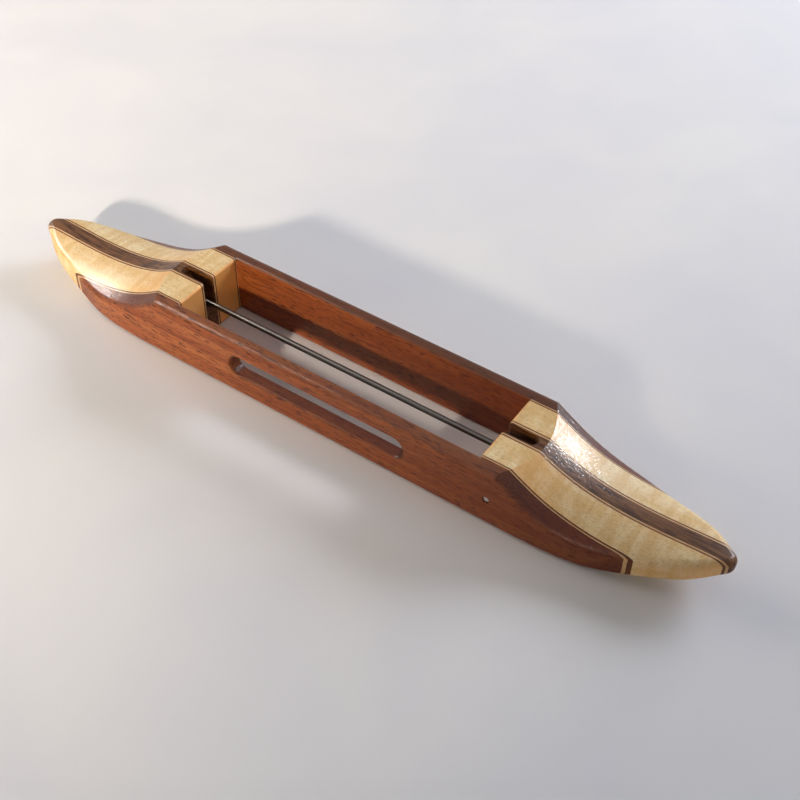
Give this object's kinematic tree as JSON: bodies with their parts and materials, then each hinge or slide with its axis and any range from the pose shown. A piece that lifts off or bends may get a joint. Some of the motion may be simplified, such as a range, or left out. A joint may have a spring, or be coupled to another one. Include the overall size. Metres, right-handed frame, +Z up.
{
  "type": "boat shuttle",
  "caption": "Wooden weaving shuttle with upswept pointed ends, open through the middle, with a slender rod along the opening that hinges up so that a quill can slide on.",
  "frame": {"origin": "middle of the flat footprint, on the surface that the shuttle lies on", "axes": "+X along the shuttle towards the end with the hinge, +Y across it towards the rail without the thread slot, +Z up"},
  "size_m": [0.3304, 0.047, 0.0274],
  "materials": {
    "side_wood": "gloss lacquer over straight-grained reddish brown hardwood",
    "maple": "gloss lacquer over figured pale maple",
    "walnut": "gloss lacquer over dark brown walnut",
    "dark_veneer": "gloss lacquer over a dark veneer line",
    "light_veneer": "gloss lacquer over a pale veneer line",
    "rod_steel": "ground and lightly dulled",
    "pin_steel": "bright ground end",
    "block_steel": "dark oiled"
  },
  "bodies": {
    "shuttle": {"hinge_pin": "pin_steel", "inner_dark_back_left": "dark_veneer", "inner_dark_back_right": "dark_veneer", "inner_dark_front_left": "dark_veneer", "inner_dark_front_right": "dark_veneer", "inner_light_back_left": "light_veneer", "inner_light_back_right": "light_veneer", "inner_light_front_left": "light_veneer", "inner_light_front_right": "light_veneer", "maple_back_left": "maple", "maple_back_right": "maple", "maple_front_left": "maple", "maple_front_right": "maple", "outer_dark_back_left": "dark_veneer", "outer_dark_back_right": "dark_veneer", "outer_dark_front_left": "dark_veneer", "outer_dark_front_right": "dark_veneer", "outer_light_back_left": "light_veneer", "outer_light_back_right": "light_veneer", "outer_light_front_left": "light_veneer", "outer_light_front_right": "light_veneer", "rail_back": "side_wood", "rail_front": "side_wood", "walnut_left": "walnut", "walnut_right": "walnut"},
    "spindle": {"spindle": "rod_steel", "hinge_block": "block_steel"}
  },
  "joints": [
    {"name": "spindle_lift", "type": "hinge", "parent": "shuttle", "child": "spindle", "pos_m": [0.07835, 0, 0.0132], "axis": [0, 1, 0], "range_deg": [0, 100]}
  ]
}
